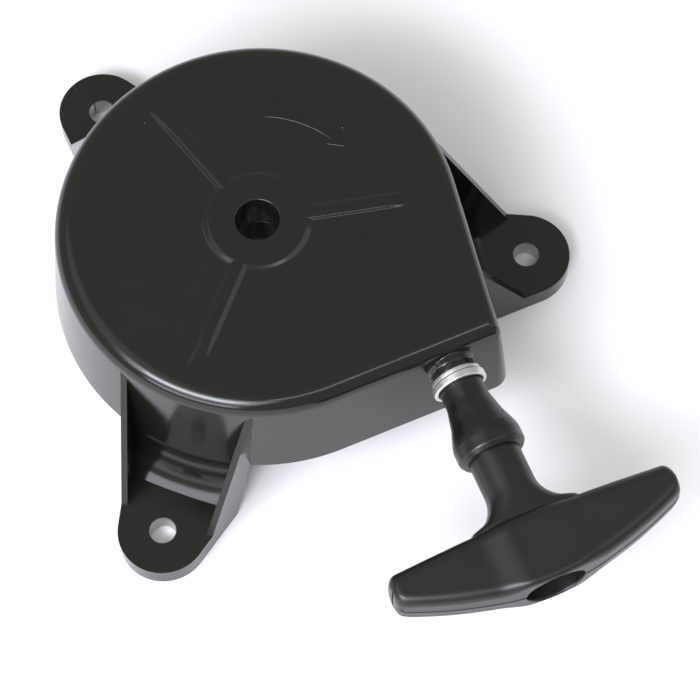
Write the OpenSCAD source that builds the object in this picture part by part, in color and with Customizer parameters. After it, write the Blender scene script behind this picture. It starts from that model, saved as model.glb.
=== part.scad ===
// Recoil starter for a small engine: a moulded cup housing on three legs, a rope
// reel with its recoil spring, a two-pawl ratchet and a T-handle.
// Z = 0 is the mounting plane under the three pads, the reel turns about the Z
// axis, and the rope is pulled towards -Y.

/* [Housing cup] */
// Outer radius of the cup at its open rim
cup_r = 65; // [58:0.5:80]
// Height of the cup from rim to top face
cup_h = 37.5; // [35:0.5:48]
// Lean of the cup's outer wall, in degrees
cup_draft = 5.5; // [2:0.5:7]
// Thickness of the cup's walls and top
wall = 2.4; // [1.8:0.1:3.2]
// Radius of the rounding between the wall and the top face
top_round = 5.6; // [4:0.2:7]
// How far the outlet corner stands inside the cup's radius, measured along X
corner_in = 8.9; // [2:0.1:12]
// Rounding of the outlet corner at the rim
corner_round = 4; // [2.6:0.2:8]

/* [Top face] */
// Radius of the raised hub disc
hub_r = 14.9; // [13:0.1:18]
// Width of the hub disc's bevel
hub_bevel = 1.8; // [0.8:0.1:2.4]
// Height of the hub disc and ribs above the top face
relief = 0.8; // [0.4:0.1:1.4]
// Mouth radius of the cored hole in the hub
core_r = 6.7; // [5.8:0.1:7.2]
// Thickness of the floor between the cored hole and the screw's insert
core_floor = 1.8; // [1.2:0.2:5]
// Width of each top rib
rib_w = 4.6; // [3:0.2:7]
// Distance from the axis to the end of each top rib
rib_reach = 54; // [40:1:55]
// Radius of the moulded rotation arrow
arrow_r = 36; // [28:1:42]

/* [Legs] */
// Distance from the cup's rim out to the circle of the mounting holes
bolt_out = 20.5; // [17:0.5:32]
// Angle of the first leg, from +X
leg_angle = -13.9; // [-20:0.1:-10]
// Height of the cup's rim above the mounting plane
stand_h = 24.5; // [20:0.5:34]
// Thickness of each mounting pad
pad_t = 8; // [6:0.5:10]
// Radius of each pad's rounded end
pad_r = 14; // [12:0.5:16]
// Half the spread of a leg's two gussets where they meet the cup
leg_spread = 21.2; // [18:0.2:24]
// Thickness of each gusset
gusset_t = 2; // [1.6:0.1:3]
// Inner radius of the steel sleeve in each pad
bolt_hole_r = 4.1; // [3.2:0.05:5.2]
// Wall of the steel sleeve
sleeve_wall = 0.5; // [0.4:0.1:1.2]
// Width of the slit in each rolled sleeve
sleeve_slit = 0.5; // [0.3:0.1:1]

/* [Rope and outlet] */
// Radius of the starter rope
rope_r = 2.25; // [1.8:0.05:2.6]
// Distance from the reel axis to the rope's line
rope_x = 36.6; // [34:0.2:40]
// Outer radius of the outlet boss
boss_r = 6.8; // [6:0.1:7.4]
// Length of the boss in front of the wall
boss_len = 3.2; // [2:0.2:6]
// Width of the eyelet's rim around the boot's neck
eyelet_rim = 1.6; // [1.2:0.1:2.6]
// Depth of the eyelet's rim along the rope
eyelet_t = 4.2; // [3:0.2:6]
// Play of the rope in the eyelet's passage, on each side
eyelet_play = 0.75; // [0.4:0.05:1.2]

/* [Reel] */
// Outer radius of the reel's flanges
reel_r = 43; // [41:0.5:50]
// Thickness of the reel's flanges
flange_t = 2; // [1.6:0.1:2.4]
// Width of the rope groove
groove_w = 10.4; // [9.6:0.2:10.8]
// Radius of the groove's floor
groove_r = 29.8; // [27:0.2:30]
// Radius of the fixed post that the reel turns on
post_r = 10; // [9:0.1:10.5]
// Wall of the reel's hub
reel_hub_wall = 3.2; // [2.5:0.1:3.6]

/* [Recoil spring] */
// Thickness of the spring strip
strip_t = 0.5; // [0.3:0.1:0.7]
// Number of turns of the recoil spring
strip_turns = 7; // [5:1:8]
// Thickness of the spring cover
cover_t = 0.8; // [0.6:0.1:1]

/* [Ratchet] */
// Distance from the reel's hub out to each pawl pin
pawl_out = 8.75; // [8:0.25:10]
// Radius of each pawl pin
pawl_pin_r = 2.5; // [2:0.1:2.8]
// Length of each pawl from its pin to its tip
pawl_len = 16.9; // [15:0.1:18]
// Thickness of each pawl
pawl_t = 5.2; // [4:0.1:5.4]
// Angle that each pawl swings out
pawl_swing = 35; // [25:1:38]
// Angle that the guide turns to swing the pawls
guide_swing = 30; // [24:1:34]
// Distance from the pawl pins out to the guide plate's edge
guide_edge = 7.5; // [7:0.5:9]
// Thickness of the guide plate
guide_t = 2; // [1.4:0.1:2]

/* [Centre screw] */
// Radius of the centre screw's shank
screw_r = 3; // [2.5:0.1:3.2]
// Height of the screw's hexagon head
head_h = 4; // [3:0.1:4.2]
// Thickness of the washers on the centre screw
washer_t = 1.2; // [1:0.1:1.4]
// Length of the bush between the two washers
bush_len = 7.6; // [7.4:0.1:7.8]

/* [Handle] */
// Width of the T-handle's bar
handle_w = 91; // [80:1:110]
// Height of the bar's arms
handle_t = 16; // [14:0.5:18]
// Radius of the handle's stem
stem_r = 8.1; // [7.4:0.1:9]
// Radius of the knot pocket in the front of the bar
pocket_r = 9; // [7.5:0.1:9.2]
// Radius of the boot's neck
boot_neck_r = 6.9; // [6.2:0.1:7.1]
// Wall of the boot's flare around the stem
flare_wall = 2.6; // [1.8:0.1:4]
// Length of the rubber boot
boot_len = 26.5; // [24:0.5:32]
// Distance from the boot's tip to the back of the bar
stem_len = 47.5; // [45:0.5:56]

/* [Hidden] */
$fn = 72;
// Clearances
run_gap = 0.05;
fit_gap = 0.03;
move_gap = 0.3;
eps = 0.01;
// Heights of the cup
rim_z = stand_h;
top_z = rim_z + cup_h;
inner_top_z = top_z - wall;
hub_top_z = top_z + relief;
rib_top_z = hub_top_z - 0.05;
lean = tan(cup_draft);
// The light band where the drafted wall meets the top rounding
round_z = top_z - top_round;
round_r = cup_r - (round_z - rim_z) * lean;
// Outlet corner: the right wall leans in plan from the tangent point to the corner
flat_turn = 2 * atan((cup_r - corner_in) / cup_r) - 90;
corner_inner = 0.4 * corner_round;
// Moulded arrow: the start and end of its line and the size of its head
arrow_h = 0.4;
arrow_line = 1.6;
arrow_span = [28, 64];
arrow_head = [3, 5];
// Legs
leg_count = 3;
leg_angles = [for (i = [0 : leg_count - 1]) leg_angle + i * 360 / leg_count];
bolt_r = cup_r + bolt_out;
sleeve_r = bolt_hole_r + sleeve_wall;
leg_root = sqrt(pow(round_r, 2) - pow(leg_spread, 2));
leg_bury = 12;
root_gap = bolt_r - leg_root;
root_dist = sqrt(pow(root_gap, 2) + pow(leg_spread, 2));
tangent_turn = 180 - atan2(leg_spread, root_gap) - acos(pad_r / root_dist);
web_foot = cup_r + 0.36 * bolt_out;
web_t = 2.5;
brace_end = bolt_r - pad_r / 4;
// Webs under the top face, and the reel's place below them
rib_deep = 0.6;
rib_over = 6;
top_gap = 0.5;
rivet_head = 0.5;
reel_hi = inner_top_z - rib_deep - top_gap - rivet_head - cover_t;
groove_hi = reel_hi - flange_t;
groove_lo = groove_hi - groove_w;
rope_z = (groove_lo + groove_hi) / 2;
reel_lo = groove_lo - flange_t - 0.2;
post_end_z = reel_lo - 2.6;
reel_hub_r = post_r + run_gap + reel_hub_wall;
reel_hub_lo = post_end_z + move_gap;
spring_room_r = groove_r - 2.2;
cover_r = groove_r + 3.6;
window_r = 3;
window_at = (cover_r + reel_r) / 2;
// Rope: the inner turns fill the groove's floor, the last turn lies on them
coil_r = rope_x - rope_r;
coil_in = groove_r + fit_gap;
leave_turn = acos(1 - (2 * rope_r + 0.3) / rope_x);
knot_r = 4.8;
knot_angle = 60;
inner_knot_r = 3.6;
inner_knot_at = coil_in + 1.5;
rope_hole_r = rope_r + 0.35;
rope_washer_t = 1.5;
// Ratchet heights, going down from the post's end
thrust_lo = post_end_z - washer_t;
bush_lo = thrust_lo - bush_len;
bush_r = 5.5;
guide_lo = bush_lo + 0.6;
guide_hi = guide_lo + guide_t;
pawl_hi = reel_lo - 0.6;
pawl_lo = pawl_hi - pawl_t;
head_washer_lo = bush_lo - washer_t;
head_lo = head_washer_lo - head_h;
pin_lo = pawl_lo - 2.2;
pin_head = 0.9;
pawl_pin_at = reel_hub_r + pawl_out;
guide_r = pawl_pin_at + guide_edge;
nib_r = 2;
nib_at = 9;
pawl_rest = -112.3;
pawl_boss_r = 4.4;
pawl_tip_r = 2.6;
// Recoil spring: its strip stands inside the reel, around the hub
strip_lo = groove_lo + 1;
strip_hi = groove_hi - 0.2;
strip_in = reel_hub_r + 1.2;
strip_out = spring_room_r - 1.2;
// Small parts of the housing and the reel
insert_r = 4.6;
insert_len = 7;
core_lo = post_end_z + insert_len + core_floor;
rivet_r = 1.2;
rivet_at = groove_r + 1.5;
// Eyelet: its tube is pressed into the boss, its rim is cut out for the boot's neck
eyelet_tube_r = 5;
eyelet_bore_r = rope_r + eyelet_play;
eyelet_r = boot_neck_r + eyelet_rim;
eyelet_back_t = 1.7;
eyelet_root = 5;
boss_root = 8;
// Handle stations along the rope, as distances in front of the reel axis
wall_y = cup_r - (rope_z - rim_z) * lean;
eyelet_y = wall_y + boss_len;
boot_y = eyelet_y + 1.8;
boot_flare_r = stem_r + flare_wall;
stem_y = boot_y + boot_len - 8.5;
bar_back_y = boot_y + stem_len;
bar_deep = 23;
bar_end_deep = 13;
bar_tip = 4;
saddle_t = 2 * pocket_r + 2.6;
pocket_floor_y = bar_back_y + 7;

// A true fillet curve of a quarter turn as points, from angle a to angle b
function arc(cx, cy, r, a, b, n = 8) =
    [for (i = [0 : n]) [cx + r * cos(a + (b - a) * i / n), cy + r * sin(a + (b - a) * i / n)]];

module tube(r_out, r_in, z0, z1) {
    translate([0, 0, z0]) difference() {
        cylinder(r = r_out, h = z1 - z0);
        translate([0, 0, -1]) cylinder(r = r_in, h = z1 - z0 + 2);
    }
}

// Turns a shape built along +Z so that it lies along the rope, pointing to -Y
module on_rope(y = 0) {
    translate([rope_x, -y, rope_z]) rotate([90, 0, 0]) children();
}

module at_legs() {
    for (a = leg_angles) rotate([0, 0, a]) children();
}

// Half section of the cup: radius r at the rim, height h, top edge rounding q
module cup_section(r, h, q) {
    neck = r - (h - q) * lean;
    polygon(concat(
        [[0, 0], [r, 0]],
        arc(neck - q, h - q, q, 0, 90),
        [[0, h]]
    ));
}

// The cup's outline is a circle joined to a square corner by its two tangents
module cup_body(r, h, q, corner) {
    rotate_extrude($fn = 144) cup_section(r, h, q);
    intersection() {
        mirror([0, 1, 0]) rotate([90, 0, 90])
            linear_extrude(height = 2 * r) cup_section(r, h, q);
        rotate([0, 0, flat_turn]) rotate([90, 0, 0])
            linear_extrude(height = 2 * r) cup_section(r, h, q);
        translate([0, 0, -1]) linear_extrude(height = h + 2) corner_outline(r, corner);
    }
}

// Where the front and right walls would meet, for walls at distance r from the axis
function corner_at(r) = [r * tan((90 + flat_turn) / 2), -r];

module corner_outline(r, corner) {
    centre = corner_at(r - corner);
    polygon(concat(
        [[0, 0], [0, -r - 1]],
        arc(centre[0], centre[1], corner + eps, -90, flat_turn, 12),
        [(r + 1) * [cos(flat_turn), sin(flat_turn)]]
    ));
}

module leg_outline(inset = 0) {
    r = pad_r - inset;
    polygon(concat(
        [[leg_root - leg_bury, leg_spread - inset], [leg_root, leg_spread - inset]],
        arc(bolt_r, 0, r, tangent_turn, -tangent_turn, 24),
        [[leg_root, inset - leg_spread], [leg_root - leg_bury, inset - leg_spread]]
    ));
}

// A leg seen from the side: gussets fall from the top rounding to the pad
module leg_side() {
    rotate([90, 0, 0]) linear_extrude(height = 4 * pad_r, center = true) polygon([
        [leg_root - leg_bury, rim_z + eps],
        [leg_root - leg_bury, round_z],
        [leg_root, round_z],
        [brace_end, pad_t],
        [bolt_r + pad_r + 1, pad_t],
        [bolt_r + pad_r + 1, 0],
        [web_foot - web_t, 0],
        [cup_r - web_t - 1, rim_z]
    ]);
}

// The channel between a leg's gussets, above its sloping web and its pad
module leg_channel() {
    intersection() {
        translate([0, 0, -1]) linear_extrude(height = top_z) leg_outline(gusset_t);
        rotate([90, 0, 0]) linear_extrude(height = 4 * pad_r, center = true) polygon([
            [leg_root - leg_bury - 2, top_z],
            [leg_root - leg_bury - 2, rim_z + 1],
            [cup_r - 0.4, rim_z + 1],
            [cup_r, rim_z],
            [web_foot, pad_t],
            [brace_end - gusset_t, pad_t],
            [bolt_r + pad_r, pad_t],
            [bolt_r + pad_r, top_z]
        ]);
    }
}

module leg() {
    difference() {
        intersection() {
            linear_extrude(height = top_z) leg_outline();
            leg_side();
        }
        leg_channel();
        translate([bolt_r, 0, -1]) cylinder(r = sleeve_r + fit_gap, h = pad_t + 2);
    }
}

module hub_relief() {
    translate([0, 0, top_z - eps])
        cylinder(r1 = hub_r + hub_bevel, r2 = hub_r, h = relief + eps);
    at_legs() rotate([90, 0, 0]) linear_extrude(height = rib_w, center = true)
        polygon([
            [hub_r - 1, top_z - 1],
            [hub_r - 1, rib_top_z],
            [rib_reach - 14, rib_top_z],
            [rib_reach, top_z - 1]
        ]);
    rotation_arrow();
}

// A generic moulded arrow that shows which way the reel turns when it is pulled
module rotation_arrow() {
    translate([0, 0, top_z - eps]) {
        rotate([0, 0, arrow_span[0]]) rotate_extrude(angle = arrow_span[1] - arrow_span[0])
            translate([arrow_r - arrow_line / 2, 0]) square([arrow_line, arrow_h]);
        rotate([0, 0, arrow_span[0] - 2]) translate([arrow_r, arrow_line, 0])
            linear_extrude(height = arrow_h)
                polygon([[0, -arrow_head[1]], [arrow_head[0], 0], [-arrow_head[0], 0]]);
    }
}

module housing() {
    color([0.10, 0.10, 0.10]) difference() {
        union() {
            difference() {
                union() {
                    translate([0, 0, rim_z]) cup_body(cup_r, cup_h, top_round, corner_round);
                    at_legs() leg();
                    on_rope(wall_y - boss_root) cylinder(r = boss_r, h = boss_root + boss_len);
                }
                translate([0, 0, rim_z - eps])
                    cup_body(cup_r - wall, cup_h - wall + eps, top_round - wall, corner_inner);
            }
            hub_relief();
            translate([0, 0, post_end_z]) cylinder(r = post_r, h = inner_top_z - post_end_z + 1);
            post_ribs();
        }
        translate([0, 0, core_lo])
            cylinder(r1 = core_r - 0.5, r2 = core_r, h = hub_top_z - core_lo + eps);
        translate([0, 0, post_end_z - 1]) cylinder(r = insert_r + fit_gap, h = insert_len + 1);
        on_rope(wall_y - 2 * boss_root)
            cylinder(r = eyelet_tube_r + fit_gap, h = 2 * boss_root + boss_len + 1);
    }
}

// Inner webs that brace the top face around the post, above the spring cover
module post_ribs() {
    at_legs() rotate([90, 0, 0]) linear_extrude(height = 2, center = true)
        polygon([
            [0, inner_top_z + 1],
            [reel_r + rib_over, inner_top_z + 1],
            [reel_r + rib_over, inner_top_z - rib_deep],
            [0, inner_top_z - rib_deep]
        ]);
}

module mount_sleeves() {
    color([0.72, 0.72, 0.70]) at_legs() translate([bolt_r, 0, 0]) difference() {
        tube(sleeve_r, bolt_hole_r, 0, pad_t);
        translate([0, bolt_hole_r, pad_t / 2])
            cube([sleeve_slit, 4 * sleeve_wall, pad_t + 2], center = true);
    }
}

module rope_eyelet() {
    rim_y = eyelet_y + eyelet_back_t;
    tube_y = wall_y - eyelet_root;
    color([0.80, 0.80, 0.78]) difference() {
        union() {
            on_rope(tube_y) cylinder(r = eyelet_tube_r, h = eyelet_y - tube_y + 0.5);
            on_rope(eyelet_y) cylinder(r = eyelet_r - 0.6, h = eyelet_back_t);
            on_rope(rim_y) cylinder(r = eyelet_r, h = eyelet_t - eyelet_back_t);
        }
        on_rope(tube_y - 1) cylinder(r = eyelet_bore_r, h = rim_y - tube_y + 2);
        on_rope(rim_y) cylinder(r = boot_neck_r + move_gap, h = eyelet_t);
        on_rope(tube_y - eps) cylinder(r1 = eyelet_tube_r - 0.5, r2 = eyelet_bore_r, h = 1.5);
    }
}

module post_insert() {
    color([0.78, 0.62, 0.30])
        tube(insert_r, screw_r + run_gap, post_end_z, post_end_z + insert_len);
}

module reel() {
    color([0.86, 0.85, 0.80]) difference() {
        union() {
            tube(reel_hub_r, post_r + run_gap, reel_hub_lo, reel_hi);
            tube(reel_r, post_r + run_gap, reel_lo, groove_lo);
            tube(groove_r, spring_room_r, groove_lo - eps, groove_hi + eps);
            tube(reel_r, spring_room_r, groove_hi, reel_hi);
        }
        pawl_places() translate([pawl_pin_at, 0, reel_lo - 1])
            cylinder(r = pawl_pin_r + fit_gap, h = groove_lo - reel_lo + 2);
        rivet_places() translate([0, 0, groove_hi - 1])
            cylinder(r = rivet_r + fit_gap, h = flange_t + 2);
        rotate([0, 0, knot_angle]) translate([inner_knot_at, 0, reel_lo - 1])
            cylinder(r = rope_hole_r, h = groove_lo - reel_lo + 2);
        for (i = [0 : 5]) rotate([0, 0, 60 * i + 10]) translate([window_at, 0, reel_lo - 1])
            cylinder(r = window_r, h = reel_hi - reel_lo + 2);
    }
}

// A strip that winds outward as a true spiral of short flat facets
module recoil_spring() {
    steps = 24 * strip_turns;
    grow = (strip_out - strip_in) / steps;
    turns = [for (i = [0 : steps]) (strip_in + grow * i) * [cos(-15 * i), sin(-15 * i)]];
    path = concat([[reel_hub_r + fit_gap, 0]], turns, [[spring_room_r - fit_gap, 0]]);
    color([0.35, 0.37, 0.40]) translate([0, 0, strip_lo])
        linear_extrude(height = strip_hi - strip_lo) ribbon(path, strip_t / 2);
}

// A flat band of the given half width along a path
module ribbon(path, half) {
    last = len(path) - 1;
    side = [for (i = [0 : last])
        let (d = path[min(i + 1, last)] - path[max(i - 1, 0)]) [-d[1], d[0]] / norm(d) * half];
    polygon(concat(
        [for (i = [0 : last]) path[i] + side[i]],
        [for (i = [last : -1 : 0]) path[i] - side[i]]
    ));
}

module rivet_places() {
    for (i = [0 : 2]) rotate([0, 0, 120 * i + 40]) translate([rivet_at, 0, 0]) children();
}

module spring_cover() {
    color([0.62, 0.64, 0.66]) difference() {
        tube(cover_r, reel_hub_r - 1, reel_hi, reel_hi + cover_t);
        rivet_places() translate([0, 0, reel_hi - 1])
            cylinder(r = rivet_r + fit_gap, h = cover_t + 2);
    }
}

module cover_rivets() {
    color([0.75, 0.75, 0.73]) rivet_places() {
        translate([0, 0, groove_hi]) cylinder(r = rivet_r, h = flange_t + cover_t);
        translate([0, 0, reel_hi + cover_t]) cylinder(r1 = 2, r2 = 1.4, h = rivet_head);
    }
}

module rope_coil() {
    color([0.90, 0.89, 0.84]) {
        tube(coil_r, coil_in, groove_lo + 0.5, groove_hi - 0.5);
        translate([0, 0, rope_z]) rotate([0, 0, 1]) rotate_extrude(angle = 359 - leave_turn)
            translate([rope_x, 0]) circle(r = rope_r, $fn = 32);
    }
}

module reel_knot() {
    color([0.90, 0.89, 0.84]) rotate([0, 0, knot_angle]) translate([inner_knot_at, 0, 0]) {
        translate([0, 0, reel_lo - 1]) cylinder(r = rope_r, h = groove_lo - reel_lo + 1.4);
        translate([0, 0, reel_lo - 2.6]) difference() {
            sphere(r = inner_knot_r);
            translate([0, 0, 2.5]) cylinder(r = inner_knot_r, h = inner_knot_r);
        }
    }
}

module rope_lead() {
    color([0.90, 0.89, 0.84]) on_rope(move_gap)
        cylinder(r = rope_r, h = pocket_floor_y + rope_washer_t - move_gap);
}

module pawl_places() {
    for (a = [0, 180]) rotate([0, 0, a]) children();
}

module pawl_pins() {
    color([0.70, 0.70, 0.70]) pawl_places() translate([pawl_pin_at, 0, 0]) {
        translate([0, 0, pin_lo]) cylinder(r = pawl_pin_r, h = groove_lo - pin_lo - 0.2);
        translate([0, 0, pin_lo]) cylinder(r = pawl_pin_r + pin_head, h = 0.5);
    }
}

module pawl() {
    pull = pawl_len - pawl_tip_r;
    color([0.80, 0.78, 0.70]) translate([pawl_pin_at, 0, 0]) difference() {
        union() {
            translate([0, 0, pawl_lo]) linear_extrude(height = pawl_t) {
                circle(r = pawl_boss_r);
                rotate(pawl_rest) {
                    polygon([
                        [0, -0.95 * pawl_boss_r],
                        [pull, -pawl_tip_r],
                        [pawl_len, -pawl_tip_r],
                        [pawl_len, pawl_tip_r - 1],
                        [pull, pawl_tip_r],
                        [0, 0.95 * pawl_boss_r]
                    ]);
                }
            }
            rotate([0, 0, pawl_rest]) translate([nib_at, 0, guide_lo + 0.2])
                cylinder(r = nib_r, h = pawl_lo - guide_lo);
        }
        translate([0, 0, pawl_lo - 1]) cylinder(r = pawl_pin_r + run_gap, h = pawl_t + 2);
    }
}

module pawl_a() { pawl(); }
module pawl_b() { rotate([0, 0, 180]) pawl(); }

// A light torsion spring under each pawl, coiled about the pin
module pawl_spring() {
    wire = 0.4;
    ring_r = pawl_pin_r + pin_head;
    color([0.72, 0.74, 0.76]) translate([pawl_pin_at, 0, pin_lo + 0.55]) {
        for (i = [0, 1]) translate([0, 0, wire + i * 1.6 * wire])
            rotate_extrude() translate([ring_r, 0]) circle(r = wire, $fn = 16);
        translate([0, 0, wire]) rotate([0, 0, 70]) translate([ring_r, 0, 0])
            rotate([-90, 0, 0]) cylinder(r = wire, h = 4, $fn = 16);
        translate([0, 0, 2.6 * wire]) rotate([0, 0, 200]) translate([ring_r, 0, 0])
            rotate([-90, 0, 0]) cylinder(r = wire, h = 4, $fn = 16);
    }
}
module pawl_spring_a() { pawl_spring(); }
module pawl_spring_b() { rotate([0, 0, 180]) pawl_spring(); }

module thrust_washer() {
    color([0.66, 0.67, 0.68]) tube(reel_hub_r + 2, screw_r + run_gap, thrust_lo, post_end_z);
}

// A helix of the given wire, radius, height and turns as one closed sweep
module helix(r, wire, h, turns, sides = 8, per_turn = 20) {
    n = turns * per_turn;
    ring = [for (i = [0 : n]) for (j = [0 : sides - 1])
        let (a = 360 * i / per_turn, b = 360 * j / sides, q = r + wire * cos(b))
        [q * cos(a), q * sin(a), h * i / n + wire * sin(b)]];
    skin = [for (i = [0 : n - 1]) for (j = [0 : sides - 1])
        [i * sides + j, i * sides + (j + 1) % sides,
         (i + 1) * sides + (j + 1) % sides, (i + 1) * sides + j]];
    caps = [
        [for (j = [sides - 1 : -1 : 0]) j],
        [for (j = [0 : sides - 1]) n * sides + j]
    ];
    polyhedron(ring, concat(skin, caps));
}

module friction_spring() {
    wire = 0.5;
    spring_h = thrust_lo - guide_hi - 2 * wire - 0.2;
    color([0.74, 0.75, 0.77]) translate([0, 0, guide_hi + wire + 0.1])
        helix(bush_r + 1.6, wire, spring_h, 3);
}

module guide_bush() {
    color([0.70, 0.71, 0.72]) tube(bush_r, screw_r + run_gap, bush_lo, thrust_lo);
}

// Where a pawl's nib lies in the guide, at a share t of the guide's travel
function nib_point(t) =
    let (
        swing = pawl_rest + pawl_swing * t,
        x = pawl_pin_at + nib_at * cos(swing),
        y = nib_at * sin(swing),
        a = -guide_swing * t
    )
    [x * cos(a) - y * sin(a), x * sin(a) + y * cos(a)];

module nib_slot() {
    steps = 12;
    slot_r = nib_r + 0.35;
    path = [for (i = [0 : steps]) nib_point(i / steps)];
    ribbon(path, slot_r);
    translate(path[0]) circle(r = slot_r);
    translate(path[steps]) circle(r = slot_r);
}

module ratchet_guide() {
    color([0.16, 0.16, 0.17]) difference() {
        tube(guide_r, bush_r + run_gap, guide_lo, guide_hi);
        pawl_places() translate([0, 0, guide_lo - 1])
            linear_extrude(height = guide_t + 2) nib_slot();
    }
}

module head_washer() {
    color([0.68, 0.69, 0.70]) tube(9, screw_r + run_gap, head_washer_lo, bush_lo);
}

module centre_screw() {
    color([0.66, 0.66, 0.64]) {
        translate([0, 0, head_lo + 1])
            cylinder(r = screw_r, h = post_end_z + insert_len - head_lo - 1.2);
        intersection() {
            translate([0, 0, head_lo]) cylinder(r = 5.77, h = head_h, $fn = 6);
            translate([0, 0, head_lo]) cylinder(r1 = 5, r2 = 5 + head_h, h = head_h);
        }
    }
}

// Half of the bar's outline, from the middle of its back to the middle of its front
function bar_half(w, back, deep, end_deep) =
    concat(
        [[0, back], [w - bar_tip, back + 1.5]],
        arc(w - bar_tip, back + 1.5 + bar_tip, bar_tip, -90, 0, 4),
        arc(w - bar_tip - 0.5, back + end_deep - bar_tip, bar_tip, 0, 60, 4),
        [[w * 0.62, back + deep - 4.4], [w * 0.24, back + deep]],
        [[0, back + deep]]
    );

module bar_outline(w) {
    half = bar_half(w, bar_back_y, bar_deep, bar_end_deep);
    polygon([for (p = half) [rope_x + p[0], -p[1]]]);
    polygon([for (p = half) [rope_x - p[0], -p[1]]]);
}

module handle_grip() {
    fillet = 6;
    color([0.07, 0.07, 0.07]) difference() {
        union() {
            translate([0, 0, rope_z - handle_t / 2]) linear_extrude(height = handle_t)
                bar_outline(handle_w / 2);
            intersection() {
                translate([0, 0, rope_z - saddle_t / 2]) linear_extrude(height = saddle_t)
                    bar_outline(handle_w / 2);
                on_rope(bar_back_y - 1) cylinder(r = pocket_r + 2.2, h = bar_deep + 4);
            }
            on_rope(stem_y) cylinder(r = stem_r, h = bar_back_y - stem_y + 6);
            intersection() {
                on_rope(bar_back_y + 1.5) rotate([180, 0, 0]) rotate_extrude() difference() {
                    square([stem_r + fillet, fillet]);
                    translate([stem_r + fillet, fillet]) circle(r = fillet);
                }
                translate([rope_x, -bar_back_y, rope_z])
                    cube([handle_w, 4 * fillet, handle_t], center = true);
            }
        }
        on_rope(stem_y - 1) cylinder(r = rope_hole_r, h = bar_deep + stem_len);
        on_rope(pocket_floor_y) cylinder(r = pocket_r, h = bar_deep + 4);
    }
}

module handle_boot() {
    flare_at = boot_len - 6;
    neck_len = 7.8;
    lip = 2.2;
    color([0.09, 0.09, 0.09]) on_rope(boot_y) rotate_extrude() difference() {
        union() {
            square([boot_neck_r, neck_len]);
            polygon([
                [0, neck_len - eps],
                [boot_neck_r, neck_len - eps],
                [boot_flare_r - 0.6, flare_at - 1.6],
                [boot_flare_r, flare_at],
                [boot_flare_r, boot_len - lip],
                [boot_flare_r - lip / 2, boot_len - lip / 4],
                [boot_flare_r - lip, boot_len],
                [0, boot_len]
            ]);
        }
        square([rope_hole_r, boot_len]);
        translate([0, stem_y - boot_y - fit_gap]) square([stem_r + fit_gap, boot_len]);
    }
}

module rope_washer() {
    color([0.70, 0.70, 0.68]) on_rope(pocket_floor_y) difference() {
        cylinder(r = pocket_r - 1.2, h = rope_washer_t);
        translate([0, 0, -1]) cylinder(r = rope_hole_r, h = rope_washer_t + 2);
    }
}

module handle_knot() {
    color([0.90, 0.89, 0.84]) on_rope(pocket_floor_y + rope_washer_t + eps) {
        translate([0, 0, knot_r]) sphere(r = knot_r);
        cylinder(r = rope_r + 1, h = knot_r);
        translate([0, 0, knot_r]) rotate([0, 25, 0]) cylinder(r = rope_r, h = 1.8 * knot_r);
    }
}

housing();
mount_sleeves();
rope_eyelet();
post_insert();
reel();
recoil_spring();
spring_cover();
cover_rivets();
rope_coil();
reel_knot();
rope_lead();
pawl_pins();
pawl_a();
pawl_b();
pawl_spring_a();
pawl_spring_b();
thrust_washer();
friction_spring();
guide_bush();
ratchet_guide();
head_washer();
centre_screw();
handle_grip();
handle_boot();
rope_washer();
handle_knot();
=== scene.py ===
"""Visual model of a pull-rope recoil starter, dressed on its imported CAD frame.

The starter is a moulded cup housing on three legs, with a rope reel, recoil spring
and two-pawl ratchet inside it, and a T-handle whose rubber boot seats in a metal
eyelet. Sizes are in millimetres in the classes and in metres in the meshes.
"""
import logging
import math
from dataclasses import dataclass
from enum import Enum

import bmesh
import bpy
from mathutils import Matrix, Vector


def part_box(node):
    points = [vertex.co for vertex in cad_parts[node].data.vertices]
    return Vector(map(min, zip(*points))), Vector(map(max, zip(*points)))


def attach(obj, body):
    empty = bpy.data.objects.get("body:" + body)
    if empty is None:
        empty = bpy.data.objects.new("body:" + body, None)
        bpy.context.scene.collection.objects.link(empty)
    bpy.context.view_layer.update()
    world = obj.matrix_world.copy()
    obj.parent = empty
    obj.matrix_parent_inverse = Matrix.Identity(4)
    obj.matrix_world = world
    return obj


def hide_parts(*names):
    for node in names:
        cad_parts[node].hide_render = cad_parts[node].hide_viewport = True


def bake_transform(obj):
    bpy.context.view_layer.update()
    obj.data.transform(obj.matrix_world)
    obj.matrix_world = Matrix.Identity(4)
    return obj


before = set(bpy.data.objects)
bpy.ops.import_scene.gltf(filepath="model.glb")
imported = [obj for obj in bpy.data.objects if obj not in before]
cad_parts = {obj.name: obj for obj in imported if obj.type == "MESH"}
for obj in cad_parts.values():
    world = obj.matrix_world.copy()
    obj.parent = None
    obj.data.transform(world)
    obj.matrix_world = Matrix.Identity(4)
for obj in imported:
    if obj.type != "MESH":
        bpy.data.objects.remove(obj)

MM = 0.001
LOG = logging.getLogger("recoil_starter")
Point = tuple[float, float, float]
Flat = tuple[float, float]
Obj = bpy.types.Object
Tree = bpy.types.NodeTree
Socket = bpy.types.NodeSocket


# ---------------------------------------------------------------- mesh helpers

class Cut(Enum):
    """How one closed mesh is combined with another."""

    JOIN = "UNION"
    KEEP = "INTERSECT"
    REMOVE = "DIFFERENCE"


def mesh_object(name: str, points: list[Point], faces: list[list[int]]) -> Obj:
    """Makes an object at the origin with its faces turned outwards.

    Args:
        name: Name of the new piece.
        points: Corner points in millimetres.
        faces: Corner numbers of each face.

    Returns:
        The new object, linked to the scene.
    """
    data = bpy.data.meshes.new(name)
    data.from_pydata([tuple(MM * c for c in p) for p in points], [], faces)
    obj = bpy.data.objects.new(name, data)
    bpy.context.scene.collection.objects.link(obj)
    tidy_normals(obj)
    return obj


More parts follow.
